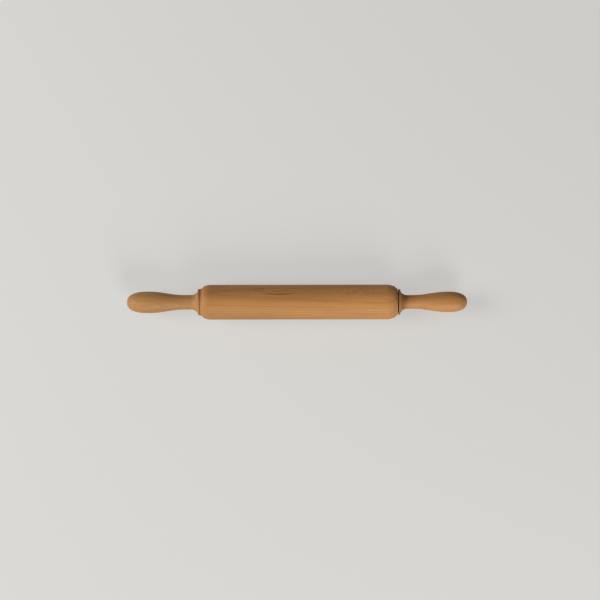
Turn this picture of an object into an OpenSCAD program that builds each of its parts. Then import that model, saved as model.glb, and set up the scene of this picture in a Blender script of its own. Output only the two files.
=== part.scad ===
// Wooden rolling pin: a turned barrel that spins between two turned handles.
// One steel axle runs through the barrel and is screwed into both handles, and
// the barrel runs on a shielded ball bearing at each end.
// The axle lies along X. The origin is on its centre line, midway between the
// barrel's two noses. All sizes are in millimetres.

/* [Barrel] */
// Diameter of the rolling surface
barrel_d = 44.2; // [42:0.2:60]
// Length of the barrel from nose to nose
barrel_len = 250; // [180:5:320]
// Diameter of the turned-down nose at the left end
left_nose_d = 35; // [31:0.2:36]
// Diameter of the turned-down nose at the right end
right_nose_d = 35.2; // [31:0.2:36]
// Length of the left nose
left_nose_len = 2.4; // [1.5:0.1:5]
// Length of the right nose
right_nose_len = 2.4; // [1.5:0.1:5]
// Height of the square step from the left nose up to its shoulder
left_step = 0.3; // [0.2:0.1:2.5]
// Height of the square step from the right nose up to its shoulder
right_step = 1.6; // [0.2:0.1:2.5]
// Length of the rounded shoulder at the left end
left_shoulder_len = 10; // [3:0.1:15]
// Length of the rounded shoulder at the right end
right_shoulder_len = 10.1; // [3:0.1:15]
// Crowning of the left shoulder: 1 is a straight chamfer and 2 an ellipse
left_shoulder_fullness = 1.8; // [1.1:0.05:2.5]
// Crowning of the right shoulder: 1 is a straight chamfer and 2 an ellipse
right_shoulder_fullness = 1.3; // [1.1:0.05:2.5]
// Diameter of the through-bore that clears the axle
barrel_bore_d = 14; // [13.5:0.5:17]

/* [Handles] */
// Length of the left handle, from its face to its tip
left_handle_len = 92.6; // [75:0.1:120]
// Length of the right handle, from its face to its tip
right_handle_len = 87.3; // [75:0.1:120]
// Widest diameter of the left grip
left_grip_d = 27.4; // [24:0.1:34]
// Widest diameter of the right grip
right_grip_d = 26.1; // [24:0.1:34]
// Distance from the left tip to the widest place
left_dome_len = 27.7; // [15:0.1:32]
// Distance from the right tip to the widest place
right_dome_len = 24.1; // [15:0.1:32]
// Fullness of the left tip: 2 is an ellipse, more is blunter
left_tip_fullness = 2.5; // [2:0.1:3.5]
// Fullness of the right tip: 2 is an ellipse, more is blunter
right_tip_fullness = 2.4; // [2:0.1:3.5]
// Diameter of the left neck
left_neck_d = 18.5; // [17:0.1:22]
// Diameter of the right neck
right_neck_d = 17.6; // [17:0.1:22]
// Length of the straight stretch of the left neck
left_neck_len = 8; // [1:0.1:15]
// Length of the straight stretch of the right neck
right_neck_len = 6.4; // [1:0.1:15]
// Length of the hollow cove between the left neck and its collar
left_cove_len = 9.4; // [6:0.1:14]
// Length of the hollow cove between the right neck and its collar
right_cove_len = 9.5; // [6:0.1:14]
// Diameter of the left collar, which faces the barrel
left_collar_d = 33.4; // [29:0.2:36]
// Diameter of the right collar, which faces the barrel
right_collar_d = 32.8; // [29:0.2:36]
// Thickness of the left collar's rim
left_rim_len = 2.3; // [1.1:0.1:3]
// Thickness of the right collar's rim
right_rim_len = 2.2; // [1.1:0.1:3]
// Radius of the eased edges of the wood
edge_round = 0.4; // [0.2:0.05:0.5]
// Gap between the barrel and the left collar
left_gap = 0.7; // [0.5:0.1:3]
// Gap between the barrel and the right collar
right_gap = 1.5; // [0.5:0.1:3]

/* [Axle] */
// Diameter of the axle rod
axle_d = 8; // [7:0.5:9]
// How deep the axle reaches into each handle
axle_reach = 45; // [30:1:50]
// Bevel at the ends of the axle and at the mouths of the barrel
bevel = 0.8; // [0.3:0.1:1]
// Point angle of the drill that made the blind bores
drill_angle = 118; // [90:1:140]

/* [Threaded inserts] */
// Diameter over the barbs of an insert
insert_d = 11.5; // [10.6:0.1:12]
// Length of an insert behind its flange
insert_len = 12; // [8:1:15]
// Diameter of an insert's flange
flange_d = 15; // [13.5:0.5:18]
// Thickness of an insert's flange
flange_t = 1.2; // [0.8:0.1:2]
// Number of barbs on an insert
barb_count = 5; // [3:1:7]
// Depth of the grooves between the barbs
barb_depth = 0.45; // [0.2:0.05:0.6]

/* [Spacer washers] */
// Width of a spacer washer from its bore to its edge
washer_width = 2; // [1.2:0.1:2.2]
// Bevel on the corners of a spacer washer
washer_bevel = 0.15; // [0.1:0.05:0.25]

/* [Ball bearings] */
// Outside diameter of a bearing
bearing_d = 22; // [21:0.5:24]
// Width of a bearing
bearing_w = 7; // [6.6:0.1:9]
// Depth of a bearing below the nose's face
bearing_recess = 0.5; // [0.2:0.1:1]
// Bevel on the corners of the rings
ring_bevel = 0.3; // [0.2:0.05:0.4]
// Thickness of a ring's wall at its shoulders, beside the raceway
ring_wall = 2.05; // [1.8:0.05:2.2]
// Diameter of a ball
ball_d = 3.97; // [3.5:0.01:4.2]
// Number of balls in a bearing
ball_count = 7; // [5:1:7]
// Radius of a raceway's groove
groove_r = 2.07; // [2.05:0.01:2.15]
// Thickness of a shield
shield_t = 0.3; // [0.2:0.05:0.4]
// Depth of a shield's seat below the ring's face
shield_seat = 0.7; // [0.6:0.05:0.8]
// Width of the ledge that a shield sits on
shield_ledge = 0.65; // [0.4:0.05:0.8]
// How far the middle of a shield is dished outwards
shield_dish = 0.15; // [0.1:0.05:0.15]
// Thickness of the strip that a cage half is pressed from
cage_t = 0.4; // [0.3:0.05:0.5]
// Width of that strip
cage_w = 2.1; // [1.8:0.1:2.4]
// Diameter of a cage rivet's shank
rivet_d = 0.7; // [0.5:0.05:0.8]
// Diameter of a cage rivet's head
rivet_head_d = 1.2; // [1:0.05:1.3]
// Thickness of a cage rivet's head
rivet_head_t = 0.25; // [0.15:0.05:0.3]

/* [Clearances] */
// Radial gap of a pressed, glued or screwed fit
press_gap = 0.02; // [0.01:0.01:0.05]
// Gap between a ball and its raceways
ball_gap = 0.04; // [0.02:0.01:0.08]
// Gap between a ball and its cage pocket
pocket_gap = 0.1; // [0.06:0.02:0.16]
// Gap between a shield and the inner ring
shield_gap = 0.2; // [0.1:0.05:0.3]
// Space between the axle's end and the bottom of its bore
end_space = 1; // [0.5:0.5:3]

/* [Hidden] */
$fn = 96;

// The two ends of the pin, and the two faces of a bearing
LEFT = -1;
RIGHT = 1;
OUTBOARD = 1;
INBOARD = -1;

BARREL_WOOD = [0.80, 0.60, 0.40];
HANDLE_WOOD = [0.82, 0.62, 0.42];
ROD_STEEL = [0.68, 0.69, 0.71];
RING_STEEL = [0.75, 0.76, 0.78];
BALL_STEEL = [0.86, 0.87, 0.89];
CAGE_STEEL = [0.62, 0.62, 0.63];
BRASS = [0.80, 0.65, 0.30];

// Steps in a small rounded edge and in a long curve
edge_steps = 6;
curve_steps = 32;
// How far a cut runs past the face that it opens
overcut = 1;

// Bores that hold the axle, and the seats of what is pressed into the wood
axle_bore_d = axle_d + 2 * press_gap;
bearing_seat_d = bearing_d + 2 * press_gap;
insert_seat_d = insert_d + 2 * press_gap;
flange_seat_d = flange_d + 2 * press_gap;

// Places along the axle, counted outwards from a nose's face
bearing_depth = bearing_recess + bearing_w;
bearing_centre = -bearing_recess - bearing_w / 2;

// Bearing, worked out from the axle, the outside diameter and the balls
pitch_r = (axle_d + bearing_d) / 4;
ball_angle = 360 / ball_count;
inner_land_r = axle_bore_d / 2 + ring_wall;
outer_land_r = bearing_d / 2 - ring_wall;
inner_groove_at = pitch_r - ball_d / 2 - ball_gap + groove_r;
outer_groove_at = pitch_r + ball_d / 2 + ball_gap - groove_r;
shield_seat_r = outer_land_r + shield_ledge;
pocket_r = ball_d / 2 + pocket_gap;

// The value that holds at one end of the pin.
function pick(side, left, right) = side == LEFT ? left : right;

// Places in a handle, counted outwards from the nose's face: the handle's own
// face, the back of the insert's flange, the insert's end and the bore's end.
function handle_face(side) = pick(side, left_gap, right_gap);
function flange_back(side) = handle_face(side) + flange_t;
function insert_end(side) = flange_back(side) + insert_len;
function axle_end(side) = handle_face(side) + axle_reach;
function bore_end(side) = axle_end(side) + end_space;

// A ring's section with bevelled corners, as [radius, place] points.
function bevelled_ring(inner_r, outer_r, from, to, cut) = [
    [inner_r, from + cut],
    [inner_r + cut, from],
    [outer_r - cut, from],
    [outer_r, from + cut],
    [outer_r, to - cut],
    [outer_r - cut, to],
    [inner_r + cut, to],
    [inner_r, to - cut],
];

// A quarter round from [r - edge_round, from] out to [r, from + edge_round].
function rounded_edge(r, from) = [
    for (i = [0 : edge_steps])
        let (a = 90 * i / edge_steps)
        [r - edge_round * (1 - sin(a)), from + edge_round * (1 - cos(a))],
];

// A smooth rise from one radius to another, level at both ends.
function swell(from_r, to_r, from, to) = [
    for (i = [0 : curve_steps])
        let (s = i / curve_steps)
        [from_r + (to_r - from_r) * (1 - cos(180 * s)) / 2, from + (to - from) * s],
];

// A closed dome that stands on radius r and ends on the axle's line.
function dome(r, from, len, fullness) = [
    for (i = [curve_steps : -1 : 0])
        let (a = 90 * i / curve_steps)
        [r * pow(sin(a), 2 / fullness), from + len * pow(cos(a), 2 / fullness)],
];

// A hollow quarter ellipse that falls from radius from_r and runs out at to_r.
function cove(from_r, to_r, from, len) = [
    for (i = [0 : curve_steps])
        let (a = 90 * i / curve_steps)
        [to_r + (from_r - to_r) * (1 - sin(a)), from + len * (1 - cos(a))],
];

// A crowned shoulder that rises from radius from_r and runs out at to_r.
function shoulder(from_r, to_r, from, len, fullness) = [
    for (i = [0 : curve_steps])
        let (a = 90 * i / curve_steps)
        [
            from_r + (to_r - from_r) * pow(sin(a), 2 / fullness),
            from + len * (1 - pow(cos(a), 2 / fullness)),
        ],
];

// One end of the barrel, from its nose's face inwards to the rolling surface.
function barrel_end(side) = let (
    nose_r = pick(side, left_nose_d, right_nose_d) / 2,
    nose_len = pick(side, left_nose_len, right_nose_len),
    step = pick(side, left_step, right_step),
    shoulder_len = pick(side, left_shoulder_len, right_shoulder_len),
    fullness = pick(side, left_shoulder_fullness, right_shoulder_fullness)
) concat(
    rounded_edge(nose_r, 0),
    [[nose_r, nose_len]],
    shoulder(nose_r + step, barrel_d / 2, nose_len, shoulder_len, fullness)
);

// A handle, from its face on the axle's line to its tip: collar, cove, neck,
// swelling grip and domed tip.
function handle_outline(side) = let (
    collar_r = pick(side, left_collar_d, right_collar_d) / 2,
    neck_r = pick(side, left_neck_d, right_neck_d) / 2,
    grip_r = pick(side, left_grip_d, right_grip_d) / 2,
    cove_len = pick(side, left_cove_len, right_cove_len),
    neck_len = pick(side, left_neck_len, right_neck_len),
    dome_len = pick(side, left_dome_len, right_dome_len),
    fullness = pick(side, left_tip_fullness, right_tip_fullness),
    face = handle_face(side),
    rim_end = face + pick(side, left_rim_len, right_rim_len),
    neck_end = rim_end + cove_len + neck_len,
    widest = face + pick(side, left_handle_len, right_handle_len) - dome_len,
    back_edge = rounded_edge(collar_r, 0)
) concat(
    [[0, face]],
    rounded_edge(collar_r, face),
    [for (i = [edge_steps : -1 : 1]) [back_edge[i][0], rim_end - back_edge[i][1]]],
    cove(collar_r - edge_round, neck_r, rim_end, cove_len),
    swell(neck_r, grip_r, neck_end, widest),
    dome(grip_r, widest, dome_len, fullness)
);

// Lays an outline of [radius, place along the axle] round the X axis.
module turned(outline) {
    rotate([0, 90, 0])
        rotate_extrude()
            polygon(outline);
}

// A cylinder along X from one place to another.
module rod(from, to, d) {
    translate([from, 0, 0])
        rotate([0, 90, 0])
            cylinder(h = to - from, d = d);
}

// A cone along X from one place and diameter to another.
module cone(from, to, from_d, to_d) {
    translate([from, 0, 0])
        rotate([0, 90, 0])
            cylinder(h = to - from, d1 = from_d, d2 = to_d);
}

// Moves a piece drawn outwards from a nose's face to one end of the barrel.
module at_end(side) {
    mirror([side == LEFT ? 1 : 0, 0, 0])
        translate([barrel_len / 2, 0, 0])
            children();
}

// Moves a piece drawn round a bearing's middle to one end of the barrel.
module at_bearing(side, facing = OUTBOARD) {
    at_end(side)
        translate([bearing_centre, 0, 0])
            mirror([facing == INBOARD ? 1 : 0, 0, 0])
                children();
}

// Repeats a piece round the bearing, on the circle of the balls' centres.
module round_the_balls(turn = 0) {
    for (i = [0 : ball_count - 1])
        rotate([i * ball_angle + turn, 0, 0])
            translate([0, 0, pitch_r])
                children();
}

// The turned wooden barrel, bored through for the axle and the bearings.
module barrel() {
    left = barrel_end(LEFT);
    right = barrel_end(RIGHT);
    half = barrel_len / 2;
    outline = concat(
        [[0, -half]],
        [for (p = left) [p[0], p[1] - half]],
        [for (i = [len(right) - 1 : -1 : 0]) [right[i][0], half - right[i][1]]],
        [[0, half]]
    );
    color(BARREL_WOOD)
        difference() {
            turned(outline);
            rod(-half - overcut, half + overcut, barrel_bore_d);
            for (side = [LEFT, RIGHT])
                at_end(side) {
                    rod(-bearing_depth, overcut, bearing_seat_d);
                    cone(-bevel, overcut, bearing_seat_d, bearing_seat_d + 2 * (bevel + overcut));
                }
        }
}

// The straight steel axle with bevelled ends.
module axle_rod() {
    left_end = -barrel_len / 2 - axle_end(LEFT);
    right_end = barrel_len / 2 + axle_end(RIGHT);
    color(ROD_STEEL)
        turned([
            [0, left_end],
            [axle_d / 2 - bevel, left_end],
            [axle_d / 2, left_end + bevel],
            [axle_d / 2, right_end - bevel],
            [axle_d / 2 - bevel, right_end],
            [0, right_end],
        ]);
}

// A turned wooden handle with a blind bore and the stepped seat of its insert.
module handle(side) {
    mouth = handle_face(side) - overcut;
    bottom = bore_end(side);
    point_len = axle_bore_d / 2 / tan(drill_angle / 2);
    color(HANDLE_WOOD)
        at_end(side)
            difference() {
                turned(handle_outline(side));
                rod(mouth, flange_back(side), flange_seat_d);
                rod(mouth, insert_end(side), insert_seat_d);
                rod(mouth, bottom, axle_bore_d);
                cone(bottom, bottom + point_len, axle_bore_d, 0);
            }
}

// A brass insert with a flange and barbs. Its thread is left plain.
module threaded_insert(side) {
    face = handle_face(side);
    back = flange_back(side);
    barb_len = insert_len / barb_count;
    barbs = [
        for (i = [0 : barb_count - 1])
            each [
                [insert_d / 2, back + i * barb_len],
                [insert_d / 2 - barb_depth, back + (i + 1) * barb_len],
            ],
    ];
    color(BRASS)
        at_end(side)
            turned(concat(
                [
                    [axle_bore_d / 2, face],
                    [flange_d / 2, face],
                    [flange_d / 2, back],
                ],
                barbs,
                [[axle_bore_d / 2, insert_end(side)]]
            ));
}

// A steel washer between an inner ring and an insert, which keeps the collar
// off the barrel.
module spacer_washer(side) {
    bore_r = axle_bore_d / 2;
    face = handle_face(side);
    color(ROD_STEEL)
        at_end(side)
            turned(bevelled_ring(
                bore_r, bore_r + washer_width, -bearing_recess, face, washer_bevel
            ));
}

// A bearing ring's section with its raceway's groove cut into it.
module grooved_ring(inner_r, outer_r, groove_at) {
    difference() {
        polygon(bevelled_ring(inner_r, outer_r, -bearing_w / 2, bearing_w / 2, ring_bevel));
        translate([groove_at, 0])
            circle(r = groove_r);
    }
}

// Outer ring: raceway inside, and a seat for a shield on each face.
module bearing_outer_ring(side) {
    color(RING_STEEL)
        at_bearing(side)
            rotate([0, 90, 0])
                rotate_extrude()
                    difference() {
                        grooved_ring(outer_land_r, bearing_d / 2, outer_groove_at);
                        for (from = [-bearing_w / 2 - overcut, bearing_w / 2 - shield_seat])
                            translate([0, from])
                                square([shield_seat_r, shield_seat + overcut]);
                    }
}

// Inner ring: raceway outside, bore on the axle.
module bearing_inner_ring(side) {
    color(RING_STEEL)
        at_bearing(side)
            rotate([0, 90, 0])
                rotate_extrude()
                    grooved_ring(axle_bore_d / 2, inner_land_r, inner_groove_at);
}

// The balls of one bearing.
module bearing_balls(side) {
    color(BALL_STEEL)
        at_bearing(side)
            round_the_balls()
                sphere(d = ball_d);
}

// Half of the pressed cage: pockets over the balls, with flat lands between
// them that are riveted to the other half.
module bearing_cage(side, facing) {
    color(CAGE_STEEL)
        at_bearing(side, facing)
            difference() {
                intersection() {
                    union() {
                        rod(0, cage_t, 2 * (pitch_r + cage_w));
                        round_the_balls()
                            sphere(r = pocket_r + cage_t);
                    }
                    difference() {
                        rod(0, bearing_w / 2, 2 * pitch_r + cage_w);
                        rod(-overcut, bearing_w, 2 * pitch_r - cage_w);
                    }
                }
                round_the_balls()
                    sphere(r = pocket_r);
                round_the_balls(ball_angle / 2)
                    rod(-overcut, overcut, rivet_d + 2 * press_gap);
            }
}

// The rivets that hold the two cage halves together, with a head at each end.
module bearing_cage_rivets(side) {
    head_end = cage_t + rivet_head_t;
    color(BALL_STEEL)
        at_bearing(side)
            round_the_balls(ball_angle / 2) {
                rod(-cage_t, cage_t, rivet_d);
                rod(cage_t, head_end, rivet_head_d);
                rod(-head_end, -cage_t, rivet_head_d);
            }
}

// A dished steel shield on its seat in the outer ring.
module bearing_shield(side, facing) {
    seat = bearing_w / 2 - shield_seat;
    edge_r = shield_seat_r - press_gap;
    rim_r = outer_land_r - shield_t;
    dish_r = rim_r - 2 * shield_dish;
    mouth_r = inner_land_r + shield_gap;
    color(RING_STEEL)
        at_bearing(side, facing)
            turned([
                [edge_r, seat],
                [edge_r, seat + shield_t],
                [rim_r, seat + shield_t],
                [dish_r, seat + shield_t + shield_dish],
                [mouth_r, seat + shield_t + shield_dish],
                [mouth_r, seat + shield_dish],
                [dish_r, seat + shield_dish],
                [rim_r, seat],
            ]);
}

barrel();
axle_rod();
handle(LEFT);  // left_handle
handle(RIGHT);  // right_handle
threaded_insert(LEFT);  // left_threaded_insert
threaded_insert(RIGHT);  // right_threaded_insert
spacer_washer(LEFT);  // left_spacer_washer
spacer_washer(RIGHT);  // right_spacer_washer
bearing_outer_ring(LEFT);  // left_bearing_outer_ring
bearing_outer_ring(RIGHT);  // right_bearing_outer_ring
bearing_inner_ring(LEFT);  // left_bearing_inner_ring
bearing_inner_ring(RIGHT);  // right_bearing_inner_ring
bearing_balls(LEFT);  // left_bearing_balls
bearing_balls(RIGHT);  // right_bearing_balls
bearing_cage(LEFT, OUTBOARD);  // left_bearing_cage_outboard
bearing_cage(RIGHT, OUTBOARD);  // right_bearing_cage_outboard
bearing_cage(LEFT, INBOARD);  // left_bearing_cage_inboard
bearing_cage(RIGHT, INBOARD);  // right_bearing_cage_inboard
bearing_cage_rivets(LEFT);  // left_bearing_cage_rivets
bearing_cage_rivets(RIGHT);  // right_bearing_cage_rivets
bearing_shield(LEFT, OUTBOARD);  // left_bearing_shield_outboard
bearing_shield(RIGHT, OUTBOARD);  // right_bearing_shield_outboard
bearing_shield(LEFT, INBOARD);  // left_bearing_shield_inboard
bearing_shield(RIGHT, INBOARD);  // right_bearing_shield_inboard
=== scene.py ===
"""A turned beech rolling pin, seen straight down on a pale table.

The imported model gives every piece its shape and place. This script adds the
camera, the light and the finish of each surface: beech for the barrel and the
handles, steel for the axle, washers and bearings, and brass for the inserts.
Places on the wood are in millimetres in the part's own frame, where X runs
along the axle and "round" is the way round the barrel from its top line.
"""

import math

import bpy
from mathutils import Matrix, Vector


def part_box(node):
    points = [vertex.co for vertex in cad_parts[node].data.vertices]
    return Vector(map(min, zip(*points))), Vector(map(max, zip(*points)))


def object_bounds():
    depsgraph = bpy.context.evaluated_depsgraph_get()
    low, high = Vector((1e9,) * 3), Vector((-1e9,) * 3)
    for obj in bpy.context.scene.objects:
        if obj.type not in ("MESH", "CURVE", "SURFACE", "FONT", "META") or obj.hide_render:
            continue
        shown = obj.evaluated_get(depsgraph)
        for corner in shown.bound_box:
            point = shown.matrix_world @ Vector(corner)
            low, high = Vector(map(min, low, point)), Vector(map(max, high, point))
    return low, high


MM = 0.001

# Camera: the width of table that the picture takes in, the point in its middle, and how far the
# picture is turned, in degrees, which raises the pin's right end a little
FIELD = 762.6 * MM
PICTURE_CENTRE = Vector((1.5, 2.65, 0)) * MM
PICTURE_TURN = -0.1
LENS = 85
SENSOR = 36

# Lamps: how far round from +X and how far up each one stands, in degrees, and its watts
LAMPS = {
    "side_lamp": (178, 34, 41),
    "front_lamp": (291, 30, 36),
}
LAMP_DISTANCE = 2.4
LAMP_SIDE = 1.3

# Sky: its level as it lights the pin, and as it is looked at
SKY_LEVEL = 0.1
SKY_SHOWN = 0.78

# Table: half the side of the floor in metres, its pale colour, how much of it shows without any
# light, the colour that takes the light and the shadow, and the one that lights the pin
FLOOR_HALF = 20
FLOOR_PALE = (228, 226, 222)
FLOOR_GLOW = 0.58
FLOOR_LIT = (140, 138, 135)
FLOOR_BOUNCE = (92, 89, 85)
FLOOR_ROUGH = 0.9
FLOOR_GAP = 0.05 * MM

# Beech colours: pale and dull wood, the line that ends a ring, ray flecks and pores, streaks, a pale
# sheen painted on the end grain, painted shade, and the pale and dull wood of the left handle, which
# are darker and greyer than the rest
BEECH_PALE = (213, 150, 84)
BEECH_DULL = (187, 132, 74)
BEECH_LATE = (160, 100, 48)
BEECH_FLECK = (134, 80, 38)
BEECH_STREAK = (98, 54, 20)
# Pale grey-brown painted over the end grain: a painted sheen on the tips and painted light in the shaded
# seams
PAINTED_END_SHEEN = (208, 176, 138)
# Dark brown for the painted shade in the right handle's cove
BEECH_PAINTED_SHADE = (112, 58, 12)
GREYER_BEECH = ((194, 143, 85), (181, 133, 79))

# Blanks that the wood is turned from: where the pith lies across the pin and up, how the grain
# leans, how pale the wood is at X = 0, and how much paler it is 100 mm further right
BARREL_BLANK = ((-30, -52), 0.015, 0.42, 0.28)
LEFT_BLANK = ((34, -61), -0.02, 0.45, 0.0)
RIGHT_BLANK = ((-52, 45), 0.02, 0.6, 0.0)

# Noises in the wood: how fast each one changes along, across and up, its detail and its roughness
GRAIN_WANDER = ((0.0003, 0.045, 0.045), 1.5, 0.5)
BROAD_TONE = ((0.008, 0.09, 0.09), 3.0, 0.5)
FINE_GRAIN = ((0.05, 1.1, 1.1), 3.0, 0.6)
PORE_GRAIN = ((0.28, 5.0, 5.0), 2.0, 0.6)
RAY_PATCHES = ((0.06, 0.2, 0.2), 2.0, 0.5)

# A noise's middle, and the ends between which most of it, and nearly all of it, lies
NOISE_MIDDLE = 0.5
MOST = (0.3, 0.7)
NEARLY_ALL = (0.2, 0.8)

# Growth rings: how far the grain wanders, the width of a ring, how many rings its width can drift
# by and how fast it does, where the late wood starts and is full, and where the ring is over
WANDER = 6.0
RING_WIDTH = 3.1
RING_DRIFT = 3.0
RING_DRIFT_RATE = 0.11
RING_LATE = (0.4, 0.93)
RING_OVER = (1.0, 0.95)

# Rays: the length, thickness and depth of wood that holds one, the least and most of it that a ray
# fills, and the share of a ray that is fully dark
RAY_ROOM = (3.2, 0.5, 6.0)
RAY_FILL = (0.2, 0.36)
RAY_CORE = 0.35

# Parts of the fine grain's and the pores' noise that show, and how far each mark changes the colour
FINE_SHOWN = (0.35, 0.75)
PORE_SHOWN = (0.56, 0.7)
FINE_SHARE = 0.3
RAY_SHARE = 0.42
PORE_SHARE = 0.3
PAINTED_END_SHEEN_SHARE = 0.4
SCORE_SHARE = 0.4

# End grain, which is rougher and takes a painted pale sheen: how far a surface faces along the axle
# where it starts to show, and where it is full
END_GRAIN_AND_SHEEN_FACING = (0.6, 0.97)

# Relief of the wood: its depth in millimetres, the hair-fine rings that the gouge leaves round the
# pin, and how far each mark stands out of the relief or lies in it
RELIEF_DEPTH = 0.02
GOUGE_RATE = 2.2
GOUGE_NOISE = (3.0, 0.7)
GOUGE_RELIEF = 0.5
PORE_RELIEF = -0.6
RAY_RELIEF = -0.25
SCORE_RELIEF = -6.0

# Gloss of the wood: its roughness, which follows the fine grain, and how much rougher pores and end
# grain are, its reflection, and the soft sheen of oiled wood
WOOD_ROUGH = (0.46, 0.58)
PORE_ROUGHER = 0.15
END_ROUGHER = 0.15
WOOD_REFLECTION = 0.32
WOOD_SHEEN = 0.05

# Streaks on the barrel: middle, height round from the top line, half length, half width,
# how far the ends rise above the middle, and how far the right end lies above the left one.
# Below them: how dark they are, the share of the half width that is fully dark, and the shares of
# the half length where a streak is gone and where it has its full strength
STREAKS = [
    (-25, 10.3, 25, 1.3, 2.2, 0.0),
    (-20, 15.4, 17, 0.8, -1.8, 0.4),
    (-7, 20.2, 8, 0.9, 0.3, 1.2),
    (-50, 19.9, 8, 0.9, 0.3, -1.0),
    (-50, 15.6, 8, 0.7, 0.8, 1.6),
]
STREAK_DEPTH = 0.62
STREAK_CORE = 0.15
STREAK_TAPER = (1.0, 0.45)

# Sway of the streaks and flecks: how far it goes, how fast it changes along and round, its slice
# of the noise, its detail and its roughness
SWAY = 2.2
SWAY_RATE = (0.09, 0.2)
SWAY_SLICE = 3.0
SWAY_NOISE = (3.0, 0.6)

# Patch of small dark flecks on the barrel: middle, height round, half length and half width, where
# it is gone and where it is full, how dark the flecks are, the length and width of wood that holds
# one, their slice of the scatter, and where a fleck is gone and where it is full
FLECK_PATCH = (71, 15.5, 30, 9)
FLECK_PATCH_EDGE = (1.1, 0.6)
FLECK_DEPTH = 0.42
FLECK_ROOM = (5.5, 2.6)
FLECK_SLICE = 7.0
FLECK_EDGE = (0.42, 0.14)

# Score that the turner left on the barrel's right shoulder: its place and half its width
SCORE = (120.3, 0.4)

# Bands of painted light round the wood, each with its middle, half its width, its share and its colour:
# a painted highlight on the left nose's corner, which lifts the shade at its small step, and painted
# shade in the right handle's cove, where the barrel's shadow falls
# Pale band painted round the left nose's corner: a painted highlight that lifts the shade at its step
PAINTED_HIGHLIGHT_NOSE = (-122.3, 1.8, 0.5, BEECH_PALE)
# Dark brown painted into the right handle's cove: painted shade that deepens the barrel's shadow there
PAINTED_SHADE_COVE = (131.0, 8.0, 0.45, BEECH_PAINTED_SHADE)

# Metals: colour, roughness, and how many tool lines there are to the millimetre
DRAWN_STEEL = ((176, 178, 182), 0.3, 6.0)
BRASS = ((214, 176, 96), 0.26, 5.0)
ZINC = ((120, 120, 122), 0.55, 4.0)
BALL_STEEL = ((222, 224, 228), 0.08, 12.0)
RING_STEEL = ((198, 200, 204), 0.18, 9.0)
CAGE_STEEL = ((164, 165, 168), 0.36, 3.0)
SHIELD_STEEL = ((190, 192, 196), 0.28, 7.0)

# Polish of the metals: how fast its mottle changes, how dark and how strong that is, how far it
# moves the roughness, how much rougher the tool lines are and how deep in millimetres, and how
# slowly the lines of a drawn piece change along it
MOTTLE_RATE = 0.9
MOTTLE_NOISE = (3.0, 0.6)
MOTTLE_DARK = 0.86
MOTTLE_SHARE = 0.5
MOTTLE_ROUGH = (-0.05, 0.02)
LINE_NOISE = (4.0, 0.7)
LINE_ROUGHER = 0.12
LINE_DEPTH = 0.004
DRAWN_RATE = 0.02

# Sockets of the node that mixes two colours
MIX_SHARE = 0
MIX_BASE = 6
MIX_COLOUR = 7
MIX_RESULT = 2


def linear(colour):
    """A colour of 0 to 255 screen values, as the shader wants it: the screen's own curve, undone."""
    parts = [part / 255 for part in colour]
    return (*[p / 12.92 if p <= 0.04045 else ((p + 0.055) / 1.055) ** 2.4 for p in parts], 1)


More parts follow.
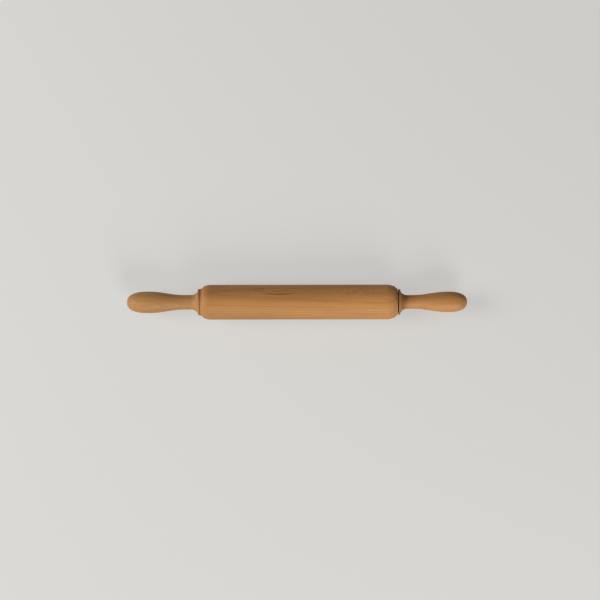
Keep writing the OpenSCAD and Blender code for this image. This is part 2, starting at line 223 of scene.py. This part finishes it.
class Surface:
    """One material, and short calls that add nodes to it. Most of them return a socket."""

    def __init__(self, name):
        self.material = bpy.data.materials.new(name)
        self.material.use_nodes = True
        self.tree = self.material.node_tree
        self.shader = self.tree.nodes["Principled BSDF"]
        place = self.tree.nodes.new("ShaderNodeTexCoord")
        self.at = self.vector("MULTIPLY", place.outputs["Object"], (1 / MM, 1 / MM, 1 / MM))
        self.along, self.across, self.up = self.split(self.at)
        self.facing = self.maths("ABSOLUTE", self.split(place.outputs["Normal"])[0])

    def feed(self, socket, value):
        """Links a socket to another one, or sets it to a plain value."""
        if isinstance(value, bpy.types.NodeSocket):
            self.tree.links.new(value, socket)
        else:
            socket.default_value = value

    def node(self, kind, values, **settings):
        """Adds a node, with its settings made and its sockets fed. This one returns the node."""
        made = self.tree.nodes.new("ShaderNode" + kind)
        for key, value in settings.items():
            setattr(made, key, value)
        for socket, value in values.items():
            self.feed(made.inputs[socket], value)
        return made

    def maths(self, operation, *values):
        return self.node("Math", dict(enumerate(values)), operation=operation).outputs[0]

    def times(self, value, factor):
        return self.maths("MULTIPLY", value, factor)

    def add_times(self, value, factor, base):
        """The base, with the value times the factor added to it."""
        return self.maths("MULTIPLY_ADD", value, factor, base)

    def offset(self, value, middle, half):
        """How far a value lies past a middle, counted in half sizes."""
        return self.maths("DIVIDE", self.maths("SUBTRACT", value, middle), half)

    def vector(self, operation, *values):
        made = self.node("VectorMath", dict(enumerate(values)), operation=operation)
        return made.outputs["Value" if operation == "LENGTH" else "Vector"]

    def join(self, x, y, z):
        return self.node("CombineXYZ", {0: x, 1: y, 2: z}).outputs[0]

    def split(self, vector):
        return self.node("SeparateXYZ", {0: vector}).outputs

    def stretch(self, x, y, z):
        """The place with each axis scaled, so that a small scale makes long marks."""
        return self.vector("MULTIPLY", self.at, (x, y, z))

    def step(self, value, low, high, to_low=0.0, to_high=1.0):
        """A smooth step as value runs from low to high."""
        values = {"Value": value, "From Min": low, "From Max": high, "To Min": to_low, "To Max": to_high}
        return self.node("MapRange", values, interpolation_type="SMOOTHSTEP").outputs[0]

    def noise(self, at, detail=2.0, roughness=0.5, output="Fac"):
        values = {"Vector": at, "Scale": 1.0, "Detail": detail, "Roughness": roughness}
        return self.node("TexNoise", values).outputs[output]

    def grain(self, noise, output="Fac"):
        """One of the noises in the wood that are listed above."""
        rates, detail, roughness = noise
        return self.noise(self.stretch(*rates), detail, roughness, output)

    def cells(self, at):
        """Distance from the nearest point of a scatter that has one point to each unit cell."""
        return self.node("TexVoronoi", {"Vector": at, "Scale": 1.0}).outputs["Distance"]

    def mark(self, middle, half_width):
        """A band round the pin that is full at its middle and gone half a width away."""
        off = self.maths("ABSOLUTE", self.maths("SUBTRACT", self.along, middle))
        return self.step(off, half_width, 0.0)

    def paint(self, base, share, colour):
        """Lays a share of a colour over the base."""
        made = self.node("Mix", {}, data_type="RGBA")
        base, colour = [linear(c) if isinstance(c, tuple) else c for c in (base, colour)]
        for socket, value in ((MIX_SHARE, share), (MIX_BASE, base), (MIX_COLOUR, colour)):
            self.feed(made.inputs[socket], value)
        return made.outputs[MIX_RESULT]

    def bump(self, height, depth):
        """The shading of a relief of the given depth in millimetres."""
        return self.node("Bump", {"Height": height, "Distance": depth * MM}).outputs[0]

    def finish(self, **sockets):
        """Feeds the shader. Underscores in a name stand for the spaces in the socket's name."""
        for name, value in sockets.items():
            self.feed(self.shader.inputs[name.replace("_", " ")], value)
        return self.material


def place_in_tree(surface, pith, lean):
    """How far a point lies out from the pith, and round it, in millimetres."""
    bend = surface.vector("SUBTRACT", surface.grain(GRAIN_WANDER, "Color"), (NOISE_MIDDLE,) * 3)
    bend_y, bend_z, _ = surface.split(bend)
    y = surface.add_times(bend_y, WANDER, surface.maths("SUBTRACT", surface.across, pith[0]))
    z = surface.add_times(bend_z, WANDER, surface.maths("SUBTRACT", surface.up, pith[1]))
    z = surface.add_times(surface.along, lean, z)
    out = surface.vector("LENGTH", surface.join(0.0, y, z))
    turn = surface.maths("ARCTAN2", y, z)
    return out, surface.times(turn, math.hypot(*pith))


def growth_rings(surface, out):
    """The wood of a ring darkens slowly outwards, and each ring ends in a thin line."""
    drift = surface.noise(surface.join(0.0, 0.0, surface.times(out, RING_DRIFT_RATE)))
    rings = surface.add_times(drift, RING_DRIFT, surface.maths("DIVIDE", out, RING_WIDTH))
    in_ring = surface.maths("FRACT", rings)
    return surface.times(surface.step(in_ring, *RING_LATE), surface.step(in_ring, *RING_OVER))


def ray_flecks(surface, out, round_pith):
    """Rays are thin sheets that stand out from the pith: short dashes where rings lie flat."""
    length, thickness, depth = RAY_ROOM
    at = surface.join(
        surface.maths("DIVIDE", surface.along, length),
        surface.maths("DIVIDE", round_pith, thickness),
        surface.maths("DIVIDE", out, depth),
    )
    size = surface.step(surface.grain(RAY_PATCHES), *MOST, *RAY_FILL)
    return surface.step(surface.cells(at), size, surface.times(size, RAY_CORE))


def streaks(surface, height_round):
    """The dark streaks, given how far round the barrel a point lies."""
    dark = 0.0
    for middle, height, half_length, half_width, bow, slope in STREAKS:
        run = surface.offset(surface.along, middle, half_length)
        path = surface.add_times(surface.times(run, run), bow, height)
        path = surface.add_times(run, slope / 2, path)
        off = surface.maths("ABSOLUTE", surface.maths("SUBTRACT", height_round, path))
        taper = surface.step(surface.maths("ABSOLUTE", run), *STREAK_TAPER)
        streak = surface.times(surface.step(off, half_width, half_width * STREAK_CORE), taper)
        dark = surface.maths("MAXIMUM", dark, streak)
    return surface.times(dark, STREAK_DEPTH)


def fleck_patch(surface, height_round, swayed):
    """The patch of small dark flecks. The patch keeps its place, and the flecks in it sway."""
    middle, height, half_length, half_width = FLECK_PATCH
    run = surface.offset(surface.along, middle, half_length)
    rise = surface.offset(height_round, height, half_width)
    patch = surface.step(surface.vector("LENGTH", surface.join(run, rise, 0.0)), *FLECK_PATCH_EDGE)
    length, width = FLECK_ROOM
    at = surface.join(
        surface.maths("DIVIDE", surface.along, length),
        surface.maths("DIVIDE", swayed, width),
        FLECK_SLICE,
    )
    fleck = surface.times(surface.step(surface.cells(at), *FLECK_EDGE), patch)
    return surface.times(fleck, FLECK_DEPTH)


def barrel_figure(surface):
    """The dark streaks and the patch of small flecks on the barrel's far side."""
    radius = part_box("barrel")[1].z / MM
    height_round = surface.times(surface.maths("ARCTAN2", surface.across, surface.up), radius)
    sway_at = surface.join(
        surface.times(surface.along, SWAY_RATE[0]),
        surface.times(height_round, SWAY_RATE[1]),
        SWAY_SLICE,
    )
    sway = surface.maths("SUBTRACT", surface.noise(sway_at, *SWAY_NOISE), NOISE_MIDDLE)
    swayed = surface.add_times(sway, SWAY, height_round)
    flecks = fleck_patch(surface, height_round, swayed)
    return surface.maths("MAXIMUM", streaks(surface, swayed), flecks)


def beech(
    name,
    blank,
    wood=(BEECH_PALE, BEECH_DULL),
    rings=0.2,
    mottle=0.15,
    figure=None,
    painted_light_band=None,
    score=None,
):
    """Turned and oiled beech. rings and mottle say how clear its rings and broad patches are."""
    pith, lean, tone, paler_per_100 = blank
    pale_wood, dull_wood = wood
    surface = Surface(name)
    out, round_pith = place_in_tree(surface, pith, lean)
    late = growth_rings(surface, out)
    ray = ray_flecks(surface, out, round_pith)
    broad = surface.step(surface.grain(BROAD_TONE), *MOST, -mottle, mottle)
    pale = surface.maths("ADD", broad, surface.add_times(surface.along, paler_per_100 / 100, tone))
    fine = surface.grain(FINE_GRAIN)
    pore = surface.step(surface.grain(PORE_GRAIN), *PORE_SHOWN)
    end_grain_and_sheen = surface.step(surface.facing, *END_GRAIN_AND_SHEEN_FACING)

    colour = surface.paint(dull_wood, surface.step(pale, 0.0, 1.0), pale_wood)
    colour = surface.paint(colour, surface.step(fine, *FINE_SHOWN, 0.0, FINE_SHARE), dull_wood)
    colour = surface.paint(colour, surface.times(late, rings), BEECH_LATE)
    colour = surface.paint(colour, surface.times(ray, RAY_SHARE), BEECH_FLECK)
    colour = surface.paint(colour, surface.times(pore, PORE_SHARE), BEECH_FLECK)
    # End-facing wood is painted pale and grey: a painted sheen on the tips and painted light on the
    # shaded seam walls
    colour = surface.paint(colour, surface.times(end_grain_and_sheen, PAINTED_END_SHEEN_SHARE), PAINTED_END_SHEEN)
    if figure:
        colour = surface.paint(colour, figure(surface), BEECH_STREAK)
    # Paints a band of painted light: a highlight on the barrel's left nose and shade in the right
    # handle's cove
    if painted_light_band:
        middle, half_width, share, shade = painted_light_band
        shown = surface.times(surface.mark(middle, half_width), share)
        colour = surface.paint(colour, shown, shade)

    gouge_at = surface.join(surface.times(surface.along, GOUGE_RATE), 0.0, 0.0)
    gouge = surface.noise(gouge_at, *GOUGE_NOISE)
    height = surface.add_times(pore, PORE_RELIEF, surface.times(gouge, GOUGE_RELIEF))
    height = surface.add_times(ray, RAY_RELIEF, height)
    if score:
        cut = surface.mark(*score)
        height = surface.add_times(cut, SCORE_RELIEF, height)
        colour = surface.paint(colour, surface.times(cut, SCORE_SHARE), BEECH_FLECK)
    rough = surface.step(fine, *NEARLY_ALL, *WOOD_ROUGH)
    rough = surface.add_times(pore, PORE_ROUGHER, rough)
    rough = surface.add_times(end_grain_and_sheen, END_ROUGHER, rough)
    return surface.finish(
        Base_Color=colour,
        Roughness=rough,
        Normal=surface.bump(height, RELIEF_DEPTH),
        Specular_IOR_Level=WOOD_REFLECTION,
        Sheen_Weight=WOOD_SHEEN,
    )


def metal(name, finish, drawn=False):
    """Metal with fine tool lines, which run along a drawn piece and round a turned one."""
    colour, roughness, lines_per_mm = finish
    surface = Surface(name)
    if drawn:
        lines_at = surface.stretch(lines_per_mm * DRAWN_RATE, lines_per_mm, lines_per_mm)
    else:
        radius = surface.vector("LENGTH", surface.join(0.0, surface.across, surface.up))
        section = surface.join(surface.along, radius, 0.0)
        lines_at = surface.vector("MULTIPLY", section, (lines_per_mm, lines_per_mm, 0))
    lines = surface.noise(lines_at, *LINE_NOISE)
    mottle = surface.noise(surface.stretch(MOTTLE_RATE, MOTTLE_RATE, MOTTLE_RATE), *MOTTLE_NOISE)
    dulled = tuple(round(part * MOTTLE_DARK) for part in colour)
    tint = surface.paint(colour, surface.step(mottle, *MOST, 0.0, MOTTLE_SHARE), dulled)
    smoother, rougher = MOTTLE_ROUGH
    rough = surface.step(mottle, *NEARLY_ALL, roughness + smoother, roughness + rougher)
    rough = surface.add_times(lines, LINE_ROUGHER, rough)
    relief = surface.bump(lines, LINE_DEPTH)
    return surface.finish(Base_Color=tint, Metallic=1.0, Roughness=rough, Normal=relief)


def make_camera():
    """Looks straight down, with the far side of the table at the top of the picture."""
    data = bpy.data.cameras.new("camera")
    data.lens = LENS
    data.sensor_width = SENSOR
    camera = bpy.data.objects.new("camera", data)
    camera.location = PICTURE_CENTRE + Vector((0, 0, FIELD * LENS / SENSOR))
    camera.rotation_euler.z = math.radians(PICTURE_TURN)
    bpy.context.scene.collection.objects.link(camera)
    bpy.context.scene.camera = camera


def make_lamp(name, turn, rise, watts):
    """A large soft lamp that stands off the pin and faces it."""
    data = bpy.data.lights.new(name, "AREA")
    data.size = LAMP_SIDE
    data.energy = watts
    lamp = bpy.data.objects.new(name, data)
    turn, rise = math.radians(turn), math.radians(rise)
    flat = math.cos(rise)
    way = Vector((math.cos(turn) * flat, math.sin(turn) * flat, math.sin(rise)))
    lamp.location = way * LAMP_DISTANCE
    lamp.rotation_mode = "QUATERNION"
    lamp.rotation_quaternion = way.to_track_quat("Z", "Y")
    bpy.context.scene.collection.objects.link(lamp)


def looking(tree):
    """1 for a ray that looks at what lies behind, also in a gloss or through glass, and 0 for light."""
    rays = tree.nodes.new("ShaderNodeLightPath").outputs
    seen = rays["Is Camera Ray"]
    for kind in ("Is Glossy Ray", "Is Transmission Ray"):
        either = tree.nodes.new("ShaderNodeMath")
        either.operation = "MAXIMUM"
        tree.links.new(seen, either.inputs[0])
        tree.links.new(rays[kind], either.inputs[1])
        seen = either.outputs[0]
    return seen


def make_sky():
    """An even sky, which is paler to look at than the light it gives."""
    world = bpy.data.worlds.new("studio")
    world.use_nodes = True
    nodes = world.node_tree.nodes
    links = world.node_tree.links
    background = nodes["Background"]
    background.inputs["Color"].default_value = (1, 1, 1, 1)
    level = nodes.new("ShaderNodeMapRange")
    level.inputs["To Min"].default_value = SKY_LEVEL
    level.inputs["To Max"].default_value = SKY_SHOWN
    links.new(looking(world.node_tree), level.inputs["Value"])
    links.new(level.outputs[0], background.inputs["Strength"])
    bpy.context.scene.world = world


def make_floor(height):
    """A plain pale table, even right to its far edge, which throws little light back on the pin."""
    mesh = bpy.data.meshes.new("floor")
    ends = (-FLOOR_HALF, FLOOR_HALF)
    mesh.from_pydata([(x, y, height) for y in ends for x in ends], [], [(0, 1, 3, 2)])
    floor = bpy.data.objects.new("floor", mesh)
    bpy.context.scene.collection.objects.link(floor)
    surface = Surface("floor")
    seen = looking(surface.tree)
    floor.data.materials.append(
        surface.finish(
            Base_Color=surface.paint(FLOOR_BOUNCE, seen, FLOOR_LIT),
            Roughness=FLOOR_ROUGH,
            Emission_Color=linear(FLOOR_PALE),
            Emission_Strength=surface.times(seen, FLOOR_GLOW),
        )
    )


def dress(nodes):
    """Gives every node of the model its finish."""
    finishes = {
        "barrel": beech(
            "barrel_beech",
            BARREL_BLANK,
            rings=0.3,
            mottle=0.25,
            figure=barrel_figure,
            # The left nose's corner gets a painted highlight
            painted_light_band=PAINTED_HIGHLIGHT_NOSE,
            score=SCORE,
        ),
        "left_handle": beech("left_handle_beech", LEFT_BLANK, wood=GREYER_BEECH),
        # The right handle's cove gets painted shade
        "right_handle": beech("right_handle_beech", RIGHT_BLANK, painted_light_band=PAINTED_SHADE_COVE),
        "axle_rod": metal("drawn_steel", DRAWN_STEEL, drawn=True),
    }
    for side in ("left_", "right_"):
        finishes[side + "threaded_insert"] = metal(side + "brass", BRASS)
        finishes[side + "spacer_washer"] = metal(side + "zinc", ZINC)
        finishes[side + "bearing_balls"] = metal(side + "balls", BALL_STEEL)
        for ring in ("outer_ring", "inner_ring"):
            finishes[side + "bearing_" + ring] = metal(side + ring, RING_STEEL)
        for cage in ("cage_outboard", "cage_inboard", "cage_rivets"):
            finishes[side + "bearing_" + cage] = metal(side + cage, CAGE_STEEL)
        for shield in ("shield_outboard", "shield_inboard"):
            finishes[side + "bearing_" + shield] = metal(side + shield, SHIELD_STEEL)
    for name, material in finishes.items():
        nodes[name].data.materials.clear()
        nodes[name].data.materials.append(material)


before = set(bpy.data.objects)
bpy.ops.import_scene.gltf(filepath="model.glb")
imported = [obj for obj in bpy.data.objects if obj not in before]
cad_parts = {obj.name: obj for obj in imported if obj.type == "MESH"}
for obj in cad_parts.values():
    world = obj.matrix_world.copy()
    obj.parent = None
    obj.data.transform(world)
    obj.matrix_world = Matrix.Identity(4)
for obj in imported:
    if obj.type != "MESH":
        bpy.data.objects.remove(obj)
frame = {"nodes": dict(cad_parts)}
cad_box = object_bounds()
bpy.context.scene.view_settings.view_transform = "Standard"
make_camera()
for lamp_name, lamp_place in LAMPS.items():
    make_lamp(lamp_name, *lamp_place)
make_sky()
make_floor(cad_box[0].z - FLOOR_GAP)
dress(frame["nodes"])
